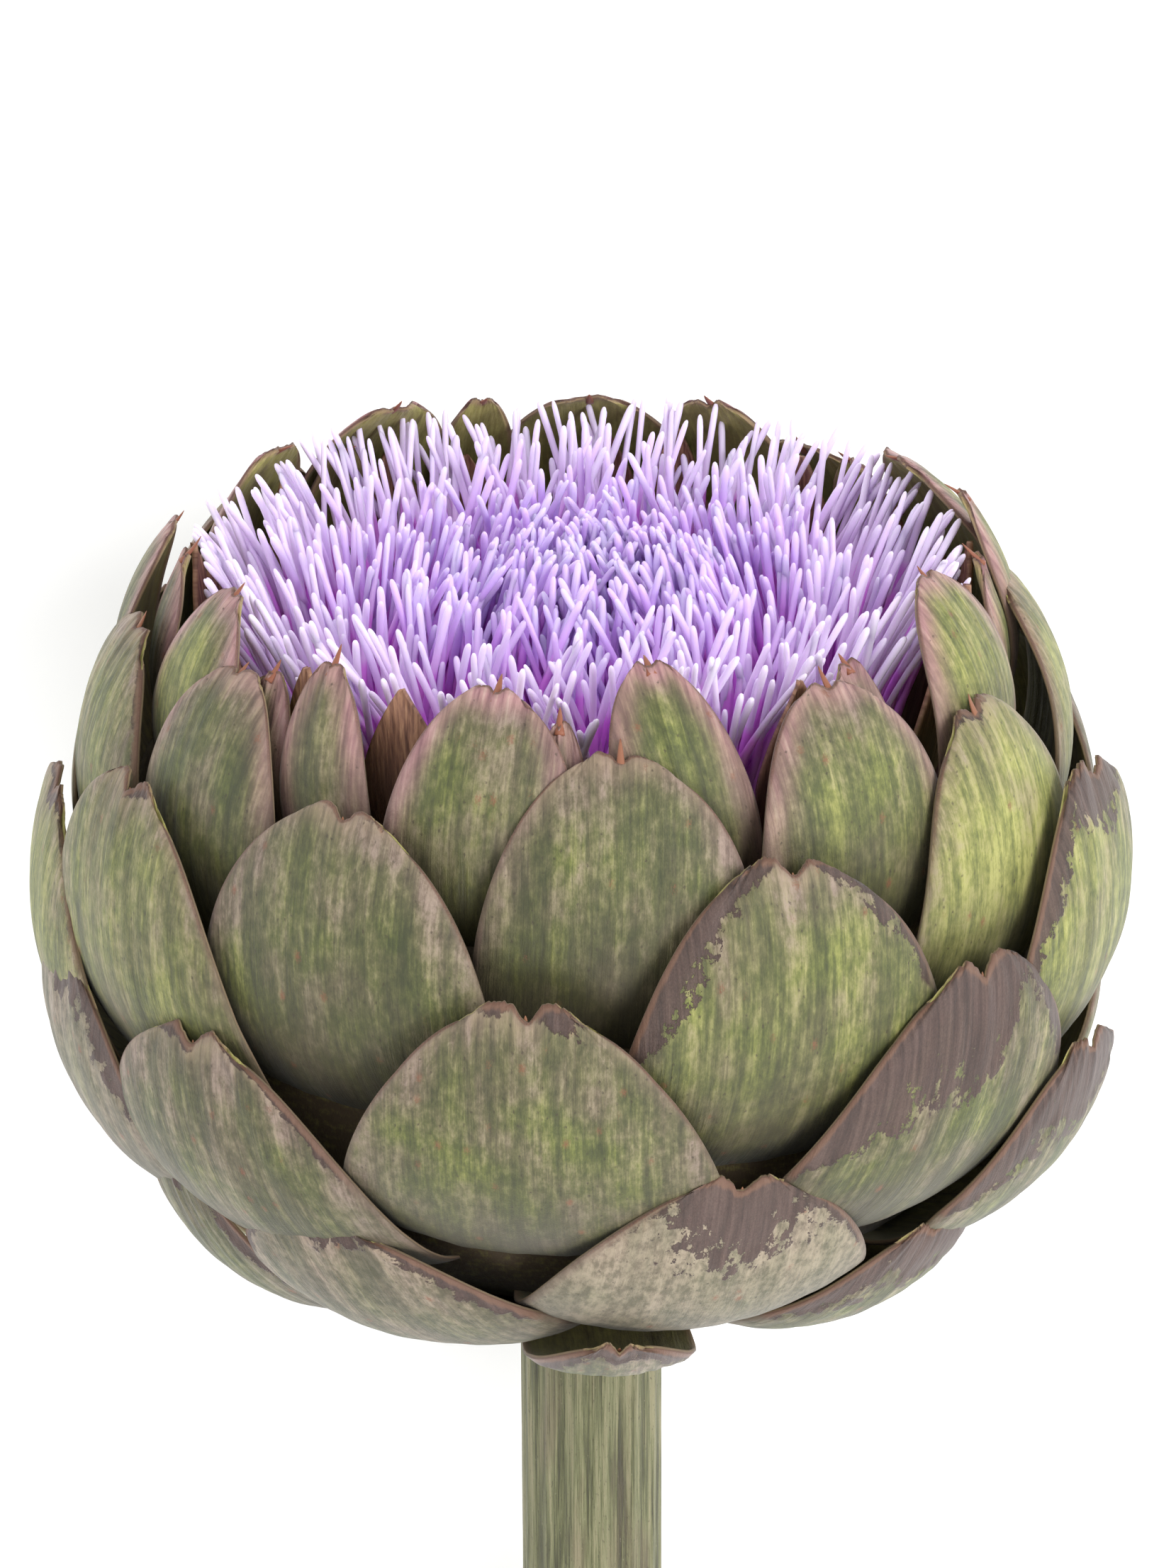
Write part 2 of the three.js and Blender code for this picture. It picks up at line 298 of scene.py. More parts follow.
def add_piece(name, points, faces, attributes, material, node):
    """A named object from upright points, its faces and its per-point values."""
    mesh = bpy.data.meshes.new(name)
    mesh.from_pydata(lay(points).tolist(), [], faces)
    for key, values in attributes.items():
        layer = mesh.attributes.new(key, "FLOAT_VECTOR", "POINT")
        layer.data.foreach_set("vector", np.asarray(values, dtype=np.float32).ravel())
    mesh.polygons.foreach_set("use_smooth", [True] * len(mesh.polygons))
    mesh.update()
    piece = bpy.data.objects.new(name, mesh)
    bpy.context.scene.collection.objects.link(piece)
    mesh.materials.append(material)
    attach(piece, "root")
    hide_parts(node)


def shell_faces(rows, columns):
    """Faces of a closed blade: outer grid first, inner grid after it, and the rim between them."""
    size = rows * columns
    faces = grid_faces(rows, columns)
    faces += [(a + size, d + size, c + size, b + size) for a, b, c, d in grid_faces(rows, columns)]
    edge = list(range(columns))
    edge += [j * columns + columns - 1 for j in range(1, rows)]
    edge += [(rows - 1) * columns + i for i in range(columns - 2, -1, -1)]
    edge += [j * columns for j in range(rows - 2, 0, -1)]
    for here, after in zip(edge, edge[1:] + edge[:1]):
        faces.append((after, here, here + size, after + size))
    return faces


# Shapes

def stand(turn, reach, side, z):
    """Points at a turn about the axis from a reach outwards, a shift sideways and a height."""
    x = reach * np.sin(turn) + side * np.cos(turn)
    y = -reach * np.cos(turn) + side * np.sin(turn)
    return np.stack([x, y, z], -1)


def globe(latitude):
    """Radius, height and outward direction of the head at a latitude."""
    s = np.sin(latitude)
    c = np.cos(latitude)
    height = np.where(s > 0, GLOBE_UP, GLOBE_DOWN)
    power = np.where(s > 0, 0.75, 0.65)
    out = height * c
    up = GLOBE_RADIUS * power * c ** (power - 1) * s
    length = np.hypot(out, up)
    return GLOBE_RADIUS * c**power, GLOBE_LEVEL + height * s, out / length, up / length


def bract_plan(k):
    """Where bract k stands, how wide it is and how far it reaches."""
    habit = BRACT_HABIT.get(k)
    if habit is None:
        habit = (4 * chance(k, 1) - 2, 3 * chance(k, 2) - 1.5, 6 * chance(k, 3) - 3, 0, 1)
    turn = math.radians(FIRST_TURN + k * TURN + habit[0])
    back_rise = 3.5 * (1 - math.cos(turn)) if k > 16 else 0
    rise = 40 * (1 - math.exp(-k / 10)) if k > 0 else 2.7 * k
    tip = 11 + rise + habit[1] + back_rise
    span = BRACT_SPAN - 0.75 * k if k > 0 else BRACT_SPAN
    width = BRACT_WIDTH * math.exp(-((k / 28) ** 1.5)) if k > 0 else BRACT_WIDTH - 0.055 * k * k
    layer = min(LAYER_STEP * max(0, k), LAYER_MOST)
    if k >= LAST_LAYER_FROM:
        layer += LAST_LAYER
    return {
        "turn": turn,
        "lean": math.radians(habit[2]),
        "tip": math.radians(tip),
        "root": math.radians(max(tip - span, -84)),
        "width": habit[4] * width,
        "open": habit[3],
        "notch": NOTCH_TOP if k >= SHARP_FROM else NOTCH,
        "layer": layer,
        "swell": 2.2 + 0.06 * max(0, -k),
    }


def outline(v):
    """Share of a bract's half width at v: broad shoulders, then a blunt top."""
    over = np.clip((v - 0.5) / 0.5, 0, 1)
    under = 0.6 + 0.4 * np.sin(np.minimum(v, 0.5) * math.pi)
    return np.where(v > 0.5, 0.3 + 0.7 * (1 - over**1.7) ** 0.7, under)


def bract_point(plan, u, v, depth, dip, flare):
    """Points of a bract: u runs across it from -1 to 1, v from root to tip, depth is below its face,
    dip shortens it and flare lifts it outwards."""
    along = v * (1 - dip * v**3)
    r, z, out, up = globe(plan["root"] + (plan["tip"] - plan["root"]) * along)
    inset = ROOT_DEPTH * (1 - along) ** plan["swell"] + TIP_DEPTH * along**2
    sunk = inset + plan["layer"] - plan["open"] * along**3 - flare
    r = r - out * sunk
    z = z - up * sunk
    bend = np.maximum(r * (0.95 - 0.15 * along), 18)
    angle = plan["width"] / 2 * outline(v) * u / bend
    sag = (bend - depth) * np.cos(angle) - bend
    side = (bend - depth) * np.sin(angle)
    turn = plan["turn"] + plan["lean"] * (along - 0.5)
    return stand(turn, r + sag * out, side, z + sag * up)


def dried_reach(k, u):
    """How many millimetres the dried brown margin reaches in from the edge."""
    patches = DRIED.get(k)
    if patches is None:
        dry = chance(k, 61)
        reach = 9 * dry**2 if k < 0 else (2.5 * dry**2 if k < 12 else 0)
        patches = [(reach, 1.6 * chance(k, 64) - 0.8, 0.3 + 0.6 * chance(k, 65))]
    return sum(reach * np.exp(-(((u - centre) / wide) ** 2)) for reach, centre, wide in patches)


def tip_dip(k, notch, u, dried):
    """How far the edge of bract k falls short of its tip: two humps with a saddle between them, a little
    uneven, and nibbled where it has dried."""
    saddle = notch * np.exp(-((u / 0.24) ** 2))
    uneven = 0.008 + 0.04 * (chance(k, 40) - 0.5) * u + 0.004 * ripple(u * 7, 0 * u, k + 50)
    nibble = 0.003 * ripple(u * 19, 0 * u, k + 90) + 0.003 * ripple(u * 41, 0 * u, k + 95)
    nibble = nibble * (0.6 + np.minimum(dried, 4) / 4)
    return np.maximum(saddle + uneven + nibble + 0.05 * np.abs(u) ** 2.5, 0)


def skin_relief(k, u, v, edge, dried):
    """Millimetres that the skin of bract k stands out from its smooth form."""
    # The margin rolls in a little, and the face is uneven, domed and faintly keeled in the middle
    near = np.exp(-edge / 2.2)
    relief = 0.4 * ripple(u * 3.2, v * 4.5, k + 10) * (0.3 + near) - EDGE_ROLL * near * v
    relief = relief + DOME * (1 - u * u) * np.sin(math.pi * np.minimum(v, 0.94)) - DOME_DROP
    # Below its free tip, a bract near the rim lies pressed in behind the ones outside it
    relief = relief - TUCK * max(0, k - TUCK_FROM) * (1 - v**6)
    relief = relief + 0.1 * ripple(u * 15, v * 2, k + 70) + KEEL * np.exp(-((u / 0.07) ** 2)) * v**6
    return relief - 0.25 * np.clip(dried - edge, 0, 1)


def make_bract(k, material):
    plan = bract_plan(k)
    line = np.linspace(-1, 1, BRACT_COLUMNS)
    line = np.sign(line) * np.abs(line) ** 0.9
    u, v = np.meshgrid(line, 1 - (1 - np.linspace(0, 1, BRACT_ROWS)) ** 1.25)
    half = plan["width"] / 2 * outline(v)
    length = (plan["tip"] - plan["root"]) * GLOBE_ARC
    dried = dried_reach(k, u) * np.clip((v - 0.55) / 0.2, 0, 1)
    dip = tip_dip(k, plan["notch"], u, dried)
    edge = np.minimum((1 - np.abs(u)) * half * 1.3, (1 - v) * length + 0.25 * np.abs(u) ** 3)
    relief = skin_relief(k, u, v, edge, dried)
    thicker = (1 - np.exp(-edge / 3)) * (1 - v * v * 0.5)
    thick = BRACT_RIM_THICK + (BRACT_THICK - BRACT_RIM_THICK) * thicker
    outer = bract_point(plan, u, v, 0 * u, dip, relief).reshape(-1, 3)
    inner = bract_point(plan, u, v, thick, dip, relief).reshape(-1, 3)
    # Where each point is on its blade, how near it is to an edge, and the tone of the whole bract
    rim = max(0, k) / 31
    place = triples(half * u, v * length, 40 * chance(k, 60))
    look = triples(edge, dried, 0)
    tone = triples(v, FRESH.get(k, 0.25 + 0.5 * chance(k, 62)), rim)
    spine_points, spine_faces = make_spine(plan, k, len(outer) + len(inner))
    spine = (len(spine_points), 1)
    values = {
        "place": [place, place + (0, 0, 9), np.tile([0.0, length, 5.0 * k], spine)],
        "look": [look, look + (0, 0, 1), np.tile([0.0, 0.0, 2.0], spine)],
        "tone": [tone, tone, np.tile([1.0, 0.5, rim], spine)],
    }
    values = {key: np.concatenate(parts) for key, parts in values.items()}
    points = np.concatenate([outer, inner, spine_points])
    faces = shell_faces(BRACT_ROWS, BRACT_COLUMNS) + spine_faces
    add_piece(f"bract_{k - FIRST_BRACT + 1:02d}", points, faces, values, material, "green_bracts")


def make_spine(plan, k, start):
    """The thorn in the saddle: a blunt nub on the lower bracts, a short sharp point on the upper ones."""
    sharp = k >= SHARP_FROM
    length = 1.9 + 1.5 * chance(k, 63) if sharp else 0.1 + 0.5 * chance(k, 63)
    width = 0.5 if sharp else 0.45
    hook = (1.2 * chance(k, 66) - 0.3) * (1 if sharp else 0.4)
    one = np.ones(1)
    dip = (plan["notch"] + 0.008) * one
    foot = bract_point(plan, 0 * one, THORN_FOOT * one, 0.5 * one, dip, (-0.35 - EDGE_ROLL / 2) * one)[0]
    near_tip = bract_point(plan, 0 * one, one, 0.45 * one, dip, (-0.2 - EDGE_ROLL) * one)[0]
    step = np.linalg.norm(near_tip - foot)
    along = (near_tip - foot) / step
    out = np.array([math.sin(plan["turn"]), -math.cos(plan["turn"]), 0.2])
    out = out - along * np.dot(out, along)
    out = out / np.linalg.norm(out)
    side = np.cross(along, out)
    points = []
    for j in range(THORN_RINGS):
        t = j / (THORN_RINGS - 1)
        radius = width * (1 - t) ** 0.75 + 0.05
        middle = foot + along * (step + length) * t + out * hook * t * t
        for i in range(THORN_SIDES):
            a = 2 * math.pi * i / THORN_SIDES
            points.append(middle + radius * (math.cos(a) * side * 1.3 + math.sin(a) * out * 0.7))
    top = start + (THORN_RINGS - 1) * THORN_SIDES
    faces = grid_faces(THORN_RINGS, THORN_SIDES, start, wrap=True)
    faces.append(tuple(range(top, top + THORN_SIDES)))
    faces.append(tuple(range(start + THORN_SIDES - 1, start - 1, -1)))
    return np.array(points), faces


def make_inner(j, material):
    turn = math.radians(FIRST_TURN + (LAST_BRACT + 1 + j) * TURN + 6 * chance(j, 4) - 3)
    foot = INNER_FOOT - 0.9 * chance(j, 5)
    top = INNER_TOP + 4 * chance(j, 6)
    width = INNER_WIDTH * (0.8 + 0.3 * chance(j, 7))
    u, v = np.meshgrid(np.linspace(-1, 1, INNER_COLUMNS), np.linspace(0, 1, INNER_ROWS))
    over = np.clip((v - 0.55) / 0.45, 0, 1)
    half = width / 2 * np.where(v > 0.55, 0.06 + 0.94 * (1 - over**1.5), 0.6 + 0.4 * v / 0.55)
    curl = 0.35 * ripple(u * 2.5, v * 6, j + 300) * v
    r = foot + INNER_SPREAD * np.sin(v * 1.6) + curl - 0.3
    bend = r * 0.8
    angle = half * u / bend
    points = []
    for depth in (0, INNER_THICK):
        reach = r - bend + (bend - depth) * np.cos(angle)
        side = (bend - depth) * np.sin(angle)
        points.append(stand(turn, reach, side, INNER_FROM + (top - INNER_FROM) * v).reshape(-1, 3))
    place = triples(half * u, v * 36, 31 * chance(j, 64))
    tone = triples(v, chance(j, 65), 0)
    values = {"place": np.concatenate([place, place]), "tone": np.concatenate([tone, tone])}
    faces = shell_faces(INNER_ROWS, INNER_COLUMNS)
    add_piece(f"inner_bract_{j + 1:02d}", np.concatenate(points), faces, values, material, "inner_bracts")


def make_turned(name, profile, segments, material, node):
    """A solid of revolution from (radius, height) pairs that start and end on the axis."""
    points = []
    for r, z in profile:
        for i in range(segments):
            a = 2 * math.pi * i / segments
            points.append((max(r, 0.01) * math.cos(a), max(r, 0.01) * math.sin(a), z))
    points = np.array(points)
    top = (len(profile) - 1) * segments
    faces = grid_faces(len(profile), segments, wrap=True)
    faces.append(tuple(range(segments - 1, -1, -1)))
    faces.append(tuple(range(top, top + segments)))
    # Deep in, in the shade, and well away from any edge
    low = 0 * points[:, 2]
    values = {"place": points, "tone": triples(low, 0.5, 0), "look": triples(low + 9, 0, 1)}
    add_piece(name, points, faces, values, material, node)


def base_profile():
    """Radius and height pairs of the fleshy base that the bracts stand on, with its bowl."""
    profile = [(0, STEM_TOP + 0.3), (13, STEM_TOP + 0.3)]
    for latitude in range(-76, 1, 4):
        r, z, out, up = (float(value) for value in globe(np.array(math.radians(latitude))))
        depth = BASE_DEPTH + (BASE_DEPTH_TOP - BASE_DEPTH) * min(max((latitude + 48) / 48, 0), 1)
        profile.append((r - out * depth, max(z - up * depth, STEM_TOP + 0.3)))
    profile += [(61, BOWL_RIM - 4), (57, BOWL_RIM), (BOWL_RADIUS, BOWL_RIM - 1)]
    profile += [(BOWL_RADIUS, BOWL_FLOOR), (0, BOWL_FLOOR)]
    return profile


def room_inside():
    """The free radius inside the bracts: one row for each step of turn, one column for each step up."""
    rows = 360 // ROOM_TURN
    room = np.full((rows, ROOM_LEVELS), ROOM_WIDEST)
    u, v = np.meshgrid(np.linspace(-1, 1, 61), np.linspace(0, 1, 81))
    for k in range(1, LAST_BRACT + 1):
        points = bract_point(bract_plan(k), u, v, 1.4 + 0 * u, 0.01 + 0 * u, 0 * u).reshape(-1, 3)
        turn = np.degrees(np.arctan2(points[:, 0], -points[:, 1])) % 360
        row = (turn // ROOM_TURN).astype(int) % rows
        column = np.clip(points[:, 2] // ROOM_STEP, 0, ROOM_LEVELS - 1).astype(int)
        np.minimum.at(room, (row, column), np.hypot(points[:, 0], points[:, 1]))
    room = np.minimum(room, np.minimum(np.roll(room, 1, 0), np.roll(room, -1, 0)))
    # Up to their tips the inner bracts are in the way instead
    height = np.arange(ROOM_LEVELS) * ROOM_STEP + ROOM_STEP / 2
    rise = np.clip((height - INNER_FROM) / 28, 0, 1)
    within = INNER_FOOT - 2.2 + INNER_SPREAD * np.sin(rise * 1.6)
    return np.where(height < INNER_TOP + 2, np.minimum(room, within), room)


def floret_axis(i, share, around, radius, room, t):
    """The middle line of floret i, leaning only as far as the bracts leave room."""
    root = (BED_RADIUS - 2) * share
    wanted = 36 * share**4 - 18 * math.sin(share * math.pi) + 19 * (chance(i, 71) - 0.5)
    drift = 0.55 * (chance(i, 72) - 0.5)
    # They stand higher towards the back of the head than in front
    back = math.sin(around) * share
    top = FLORET_TOP + 3 - 9 * chance(i, 73) ** 1.6 + 1.5 * back - 2 * (1 - share)
    foot = BED_TOP - 3
    up = (top - foot) * t
    free = room[int(math.degrees(around - math.pi / 2) % 360 // ROOM_TURN)]
    level = np.clip((foot + up) // ROOM_STEP, 0, ROOM_LEVELS - 1).astype(int)
    free = np.minimum(free[level], FLORET_SPREAD) - radius - 0.3
    for part in FLORET_LEANS:
        slope = math.tan(math.radians(abs(wanted))) * part * math.copysign(1, wanted)
        r = root + slope * up * (0.35 + 0.65 * t)
        if np.all(r < free):
            break
    x = r * math.cos(around) - drift * up * t * math.sin(around)
    y = r * math.sin(around) + drift * up * t * math.cos(around)
    return np.stack([x, y, foot + up], 1)


def make_florets(first, last, room, material):
    t = np.array(FLORET_RINGS)
    rings = len(t)
    turn = np.linspace(0, 2 * math.pi, FLORET_SIDES, endpoint=False)
    cosine = np.cos(turn)[None, :, None]
    sine = np.sin(turn)[None, :, None]
    all_points = []
    all_faces = []
    all_tone = []
    for i in range(first, last):
        share = math.sqrt((i + 0.5) / FLORETS)
        around = math.radians(i * TURN) + 0.12 * (chance(i, 70) - 0.5)
        radius = FLORET_RADIUS * (0.85 + 0.35 * chance(i, 74))
        axis = floret_axis(i, share, around, radius, room, t)
        tangent = np.gradient(axis, t, axis=0)
        tangent /= np.linalg.norm(tangent, axis=1)[:, None]
        across = np.cross(tangent, [math.cos(around), math.sin(around), 0.1])
        across /= np.linalg.norm(across, axis=1)[:, None]
        other = np.cross(tangent, across)
        # A wider sleeve up to about the middle, then the thin shaft and its blunt end
        sleeve = 0.12 * (chance(i, 75) - 0.5)
        knots = [0, 0.56 + sleeve, 0.66 + sleeve, 0.955, 0.98, 0.994, 1]
        girth = radius * np.interp(t, knots, [1.1, 1.35, 0.95, 1, 0.88, 0.6, 0.25])
        outward = cosine * across[:, None] + sine * other[:, None]
        ring = axis[:, None] + girth[:, None, None] * outward
        start = len(all_points) * rings * FLORET_SIDES
        end = start + (rings - 1) * FLORET_SIDES
        all_points.append(ring.reshape(-1, 3))
        all_faces += grid_faces(rings, FLORET_SIDES, start, wrap=True)
        all_faces.append(tuple(range(end, end + FLORET_SIDES)))
        all_tone.append(triples((t - sleeve)[:, None] + 0 * turn, chance(i, 76), share))
    name = f"florets_{first * 2 // FLORETS + 1}"
    values = {"tone": np.concatenate(all_tone)}
    add_piece(name, np.concatenate(all_points), all_faces, values, material, "florets")


def make_stem(material):
    turn = np.linspace(0, 2 * math.pi, STEM_COLUMNS, endpoint=False)
    a, t = np.meshgrid(turn, np.linspace(0, 1, STEM_ROWS))
    z = STEM_END + (STEM_TOP - STEM_END) * t
    wander = a + 0.05 * np.sin(z * 0.045 + 1)
    rib = RIB_HEIGHT * np.cos(STEM_RIBS * wander) + 0.07 * np.cos(STEM_RIBS * 3 * wander + 1)
    rib = rib + 0.1 * ripple(np.cos(a) * 9, np.sin(a) * 9 + z * 0.03, 500)
    flare = 1 + 0.12 * np.clip((z - STEM_TOP + 20) / 20, 0, 1) ** 2
    r = (STEM_RADIUS + rib) * flare
    side = triples(r * np.cos(a), r * np.sin(a), z)
    side_tone = triples(0, np.cos(STEM_RIBS * a) * 0.5 + 0.5, 0)
    # Cut end: rings to the pith, very slightly sunk in the middle
    share = np.array([0.985, 0.9, 0.75, 0.55, 0.3, 0.05])[:, None]
    ring = share * (STEM_RADIUS + rib[0])[None, :]
    cut = triples(ring * np.cos(turn), ring * np.sin(turn), STEM_END + 0.5 * (1 - share**4))
    cut_tone = triples(0, 0, 1 - ring / STEM_RADIUS + 0.01)
    start = len(side)
    faces = grid_faces(STEM_ROWS, STEM_COLUMNS, wrap=True)
    faces += [tuple(reversed(face)) for face in grid_faces(len(share), STEM_COLUMNS, start, wrap=True)]
    for i in range(STEM_COLUMNS):
        after = (i + 1) % STEM_COLUMNS
        faces.append((start + i, start + after, after, i))
    pith = start + (len(share) - 1) * STEM_COLUMNS
    faces.append(tuple(range(pith + STEM_COLUMNS - 1, pith - 1, -1)))
    faces.append(tuple(range(start - STEM_COLUMNS, start)))
    points = np.concatenate([side, cut])
    values = {"tone": np.concatenate([side_tone, cut_tone]), "place": points}
    add_piece("stem", points + (STEM_SIDE, 0, 0), faces, values, material, "stem")


# Materials

def srgb(r, g, b):
    """A colour as the shaders take it, from its screen values of 0 to 255."""
    values = []
    for c in (r, g, b):
        c = c / 255
        values.append(c / 12.92 if c <= 0.04045 else ((c + 0.055) / 1.055) ** 2.4)
    return (*values, 1)


class Paint:
    """Short ways to wire up one material's nodes."""

    def __init__(self, name):
        self.material = bpy.data.materials.new(name)
        self.material.use_nodes = True
        self.tree = self.material.node_tree
        self.shader = self.tree.nodes["Principled BSDF"]

    def add(self, kind, **settings):
        node = self.tree.nodes.new(kind)
        for key, value in settings.items():
            setattr(node, key, value)
        return node

    def put(self, socket, value):
        """Link a socket to another, or set it to a plain value."""
        if isinstance(value, bpy.types.NodeSocket):
            self.tree.links.new(value, socket)
        else:
            socket.default_value = value

    def parts(self, key):
        """The three numbers that each point carries under this name."""
        read = self.add("ShaderNodeAttribute", attribute_name=key)
        split = self.add("ShaderNodeSeparateXYZ")
        self.put(split.inputs[0], read.outputs["Vector"])
        return split.outputs[0], split.outputs[1], split.outputs[2]

    def math(self, operation, a, b=0.0, c=0.0):
        node = self.add("ShaderNodeMath", operation=operation)
        self.put(node.inputs[0], a)
        self.put(node.inputs[1], b)
        self.put(node.inputs[2], c)
        return node.outputs[0]

    def times(self, a, b):
        return self.math("MULTIPLY", a, b)

    def plus(self, a, b):
        return self.math("ADD", a, b)

    def less(self, a, b):
        return self.math("SUBTRACT", a, b)

    def spread(self, value, low, high, to_low=0.0, to_high=1.0):
        """The value taken smoothly from one range to another, and held at its ends."""
        node = self.add("ShaderNodeMapRange", interpolation_type="SMOOTHSTEP")
        self.put(node.inputs["Value"], value)
        node.inputs["From Min"].default_value = low
        node.inputs["From Max"].default_value = high
        node.inputs["To Min"].default_value = to_low
        node.inputs["To Max"].default_value = to_high
        return node.outputs["Result"]

    def noise(self, x, y, z, detail=3.0, rough=0.55, scale=1.0):
        where = self.add("ShaderNodeCombineXYZ")
        self.put(where.inputs[0], x)
        self.put(where.inputs[1], y)
        self.put(where.inputs[2], z)
        node = self.add("ShaderNodeTexNoise")
        self.put(node.inputs["Vector"], where.outputs[0])
        node.inputs["Scale"].default_value = scale
        node.inputs["Detail"].default_value = detail
        node.inputs["Roughness"].default_value = rough
        return node.outputs["Fac"]

    def mix(self, share, a, b, blend="MIX"):
        node = self.add("ShaderNodeMix", data_type="RGBA", blend_type=blend)
        self.put(node.inputs[0], share)
        self.put(node.inputs[6], a)
        self.put(node.inputs[7], b)
        return node.outputs[2]

    def ramp(self, value, stops):
        node = self.add("ShaderNodeValToRGB")
        self.put(node.inputs[0], value)
        ramp = node.color_ramp
        while len(ramp.elements) < len(stops):
            ramp.elements.new(0.5)
        for element, (position, colour) in zip(ramp.elements, stops):
            element.position = position
            element.color = colour
        return node.outputs["Color"]

    def bump(self, height, distance, strength):
        node = self.add("ShaderNodeBump")
        self.put(node.inputs["Height"], height)
        node.inputs["Distance"].default_value = distance
        node.inputs["Strength"].default_value = strength
        self.put(self.shader.inputs["Normal"], node.outputs[0])


def bract_material():
    p = Paint("bract_skin")
    x, y, seed = p.parts("place")
    edge, dried, side = p.parts("look")
    run, own, rim = p.parts("tone")
    times = p.times
    plus = p.plus
    less = p.less
    fibre = p.noise(times(x, 3.6), times(y, 0.22), seed, 3.0, 0.6)
    fine = p.noise(times(x, 1.3), times(y, 0.06), plus(seed, 2.0), 3.0, 0.55)
    broad = p.noise(times(x, 0.34), times(y, 0.035), plus(seed, 4.0), 3.0, 0.5)
    blotch = p.noise(times(x, 0.13), times(y, 0.09), plus(seed, 6.0), 3.0, 0.55)
    grain = p.noise(times(x, 5.0), times(y, 3.0), seed, 3.0, 0.7)
    mottle = p.noise(times(x, 0.9), times(y, 0.4), plus(seed, 8.0), 6.0, 0.72)
    streak = plus(plus(times(fine, 0.25), times(broad, 0.35)), times(mottle, 0.4))
    streak = plus(streak, times(less(fibre, 0.5), 0.16))
    fresher = plus(streak, p.math("MULTIPLY_ADD", own, 0.3, -0.15))
    green = p.ramp(
        p.spread(fresher, 0.31, 0.71),
        [
            (0.0, srgb(55, 60, 34)),
            (0.35, srgb(82, 88, 43)),
            (0.6, srgb(107, 112, 55)),
            (0.82, srgb(136, 138, 72)),
            (1.0, srgb(168, 166, 98)),
        ],
    )
    # Grey mauve comes in at random in soft streaks, and towards the margin and the top
    mauve = p.ramp(
        p.spread(streak, 0.34, 0.66),
        [(0.0, srgb(78, 63, 56)), (0.5, srgb(108, 92, 80)), (1.0, srgb(148, 131, 117))],
    )
    shift = p.math("MULTIPLY_ADD", own, -0.5, 0.32)
    toward_top = p.spread(run, 0.6, 1.0, 0.0, 0.35)
    toward_edge = p.spread(edge, 0.0, 9.0, 0.4, 0.0)
    patchy = p.spread(plus(times(blotch, 0.6), times(mottle, 0.4)), 0.36, 0.66, -0.25, 0.5)
    share = plus(plus(toward_edge, toward_top), plus(patchy, shift))
    share = p.math("MINIMUM", p.math("MAXIMUM", share, 0.0), 1.0)
    share = times(share, p.spread(broad, 0.32, 0.66, 0.45, 1.1))
    colour = p.mix(share, green, mauve)
    # Painted light: the dullest bracts, low on the head, are painted paler in soft patches, as light from
    # below leaves them
    painted_light_from_below = times(p.spread(own, 0.0, 0.22, 0.42, 0.0), p.spread(mottle, 0.36, 0.62, 0.4, 1.15))
    colour = p.mix(painted_light_from_below, colour, srgb(170, 159, 134))
    # The tip is paler and browner
    tan = times(p.spread(edge, 0.0, 5.0, 0.75, 0.0), p.spread(run, 0.78, 1.0))
    colour = p.mix(times(tan, p.spread(fine, 0.35, 0.6, 0.3, 1.0)), colour, srgb(150, 132, 108))
    # Painted shade: low down, where each bract lies deep between the others, it is painted dark, over
    # some darker tone of its own
    colour = p.mix(p.spread(run, 0.3, 0.78, 0.75, 0.0), colour, srgb(60, 52, 38))
    # Rim bracts blush pink towards their margins
    margin = times(p.spread(edge, 0.0, 6.5, 1.0, 0.0), p.spread(broad, 0.3, 0.6, 0.5, 1.0))
    blush = times(p.spread(rim, 0.35, 0.7), margin)
    blush_colour = p.ramp(
        fine,
        [(0.3, srgb(132, 84, 98)), (0.55, srgb(182, 132, 138)), (0.8, srgb(216, 184, 176))],
    )
    colour = p.mix(times(blush, p.spread(run, 0.5, 0.9, 0.35, 0.8)), colour, blush_colour)
    # Small dark specks and a few rusty spots
    spots = [(0.85, 0.16, 0.3, srgb(52, 42, 32)), (0.3, 0.15, 0.5, srgb(122, 74, 52))]
    for scale, size, few, tint in spots:
        at = p.add("ShaderNodeCombineXYZ")
        p.put(at.inputs[0], x)
        p.put(at.inputs[1], times(y, 0.6))
        p.put(at.inputs[2], seed)
        cell = p.add("ShaderNodeTexVoronoi")
        p.put(cell.inputs["Vector"], at.outputs[0])
        cell.inputs["Scale"].default_value = scale
        pick = p.add("ShaderNodeSeparateColor")
        p.put(pick.inputs[0], cell.outputs["Color"])
        rough = p.math("MULTIPLY_ADD", grain, 0.5, cell.outputs["Distance"])
        near = p.spread(rough, size + 0.1, size + 0.3, 1.0, 0.0)
        spot = times(near, p.math("GREATER_THAN", pick.outputs[0], few))
        colour = p.mix(times(spot, 0.7), colour, tint)
    # Thin mauve and rust lines along the edge
    line = p.spread(less(edge, times(fine, 1.4)), 0.0, 0.7, 1.0, 0.0)
    colour = p.mix(times(line, 0.3), colour, srgb(112, 90, 82))
    rust = p.spread(less(edge, times(grain, 0.5)), 0.0, 0.4, 1.0, 0.0)
    rusty = p.ramp(grain, [(0.35, srgb(72, 48, 42)), (0.65, srgb(118, 84, 66))])
    colour = p.mix(times(rust, p.spread(run, 0.6, 0.95, 0.06, 0.85)), colour, rusty)
